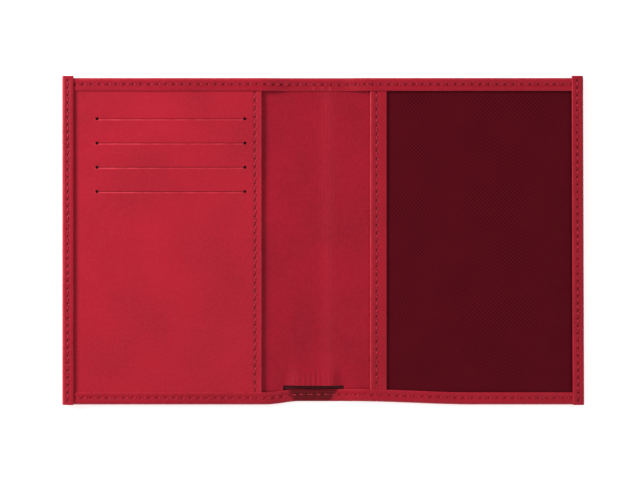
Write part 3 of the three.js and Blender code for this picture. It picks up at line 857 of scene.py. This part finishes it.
def build_net_strip():
    low, high = STRIP_LOW[0], STRIP_HIGH[0]
    level = STRIP_HIGH[2]
    places, size = pocket_stitch_places()
    xs = with_lines(steps(low, high, 0.5), STRIP_SEAM, 1.2, SEAM_GRID)
    ys = np.linspace(LINING_BOTTOM, LINING_TOP, 420)

    def top(X, Y):
        z = level + 0.04 * undulation(3 * X, Y) - seam_dent(Y, X - STRIP_SEAM, places, size)
        return z - round_over(X - low, 0.6) - round_over(high - X, 0.22)

    def bottom(X, Y):
        fold = 1 - smooth(X, low + 0.5, low + 1.0)
        return NET_HIGH[2] + 0.12 - (NET_HIGH[2] + 0.12 - STRIP_LOW[2]) * fold + 0 * Y

    def paint_wear_and_light(x, y):
        # The strip's pale left edge is partly rubbing on the fold and partly a painted highlight where it
        # faces the light.
        rubbed_and_painted_highlight = 0.7 * bump(x, low + 0.1, 0.4) + 0.3 * bump(x, high, 0.2)
        return rubbed_and_painted_highlight + seam_painted_shade(y, x - STRIP_SEAM, places, size)

    strip = plate("net_binding", xs, ys, top, bottom, TURNED, paint_wear_and_light=paint_wear_and_light)
    at = lambda y: np.array([STRIP_SEAM, y, level - THREAD_SINK])
    threads = seam("net_binding_stitches", places, size, at, True, 0.16)
    for piece, node in ((strip, "net_edge_strip"), (threads, "net_edge_thread")):
        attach(piece, "right_cover")
        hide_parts(node)


# ---- Hidden layers ----


def build_layers():
    lies_on = {"left_pocket_lining": "left_stiffener", "right_pocket_lining": "right_stiffener"}
    lies_on |= {f"card_liner_{k + 1}": "left_pocket_lining_cloth" for k in range(SLOTS)}
    sheets = []
    for node, support in lies_on.items():
        low, high = corners(node)
        xs, ys = steps(low[0], high[0], 1.6), steps(low[1], high[1], 1.6)
        wave = lambda X, Y: 0.015 * undulation(3 * X, 3 * Y)
        top = lambda X, Y: high[2] + wave(X, Y)
        bottom = lambda X, Y: low[2] + wave(X, Y)
        piece = plate(f"{node}_cloth", xs, ys, top, bottom, CLOTH)
        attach(piece, "right_cover" if node.startswith("right") else "left_cover")
        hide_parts(node)
        sheets.append((piece, tuple((high[:2] - low[:2]) * MM), support))
    for node in ("left_stiffener", "right_stiffener"):
        frame["nodes"][node].material_slots[0].material = BOARD
    return sheets


# ---- Stage ----


FLOOR_REACH = 3.0  # metres, from here to the end
FLOOR_DROP = 0.0002
FRAMED_WIDTH = 0.272
VIEW_HEIGHT = 0.003  # the level that the framed width is measured at
VIEW_MIDDLE = (-0.00136, 0.00016)


def build_stage():
    mesh = bpy.data.meshes.new("floor")
    far = FLOOR_REACH
    mesh.from_pydata([(-far, -far, 0), (far, -far, 0), (far, far, 0), (-far, far, 0)], [], [(0, 1, 2, 3)])
    floor = bpy.data.objects.new("floor", mesh)
    floor.location.z = -FLOOR_DROP
    bpy.context.scene.collection.objects.link(floor)
    n = Nodes("pale_floor")
    n.set(n.shader, "Base Color", (0.93, 0.93, 0.93, 1))
    n.set(n.shader, "Roughness", 0.9)
    n.set(n.shader, "Emission Color", (1, 1, 1, 1))
    n.set(n.shader, "Emission Strength", 0.5)
    mesh.materials.append(n.material)


def area_light(name, place, size, power, aim=(0, 0, 0)):
    light = bpy.data.lights.new(name, "AREA")
    light.shape = "DISK"
    light.size = size
    light.energy = power
    lamp = bpy.data.objects.new(name, light)
    lamp.location = place
    lamp.rotation_euler = (Vector(aim) - Vector(place)).to_track_quat("-Z", "Y").to_euler()
    bpy.context.scene.collection.objects.link(lamp)


def build_lights():
    world = bpy.data.worlds.new("studio")
    world.use_nodes = True
    world.node_tree.nodes["Background"].inputs["Color"].default_value = (1, 1, 1, 1)
    world.node_tree.nodes["Background"].inputs["Strength"].default_value = 0.33
    bpy.context.scene.world = world
    bpy.context.scene.view_settings.view_transform = "Standard"
    area_light("key", (-0.66, 0.3, 0.42), 0.36, 7.6)
    area_light("fill", (0.4, -0.2, 1.1), 0.9, 4)


def build_camera():
    """Straight above, framed as wide as the open wallet and its margin."""
    camera = bpy.data.cameras.new("camera")
    camera.lens = 100
    camera.sensor_width = 36
    view = bpy.data.objects.new("camera", camera)
    view.location = (*VIEW_MIDDLE, FRAMED_WIDTH * camera.lens / camera.sensor_width + VIEW_HEIGHT)
    bpy.context.scene.collection.objects.link(view)
    bpy.context.scene.camera = view


build_cover()
build_edge_hems()
build_side_hems()
build_card_panel()
build_lining()
woven, woven_flat = build_net()
build_net_strip()
for cloth, flat_size, support in build_layers():
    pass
build_stage()
build_lights()
build_camera()
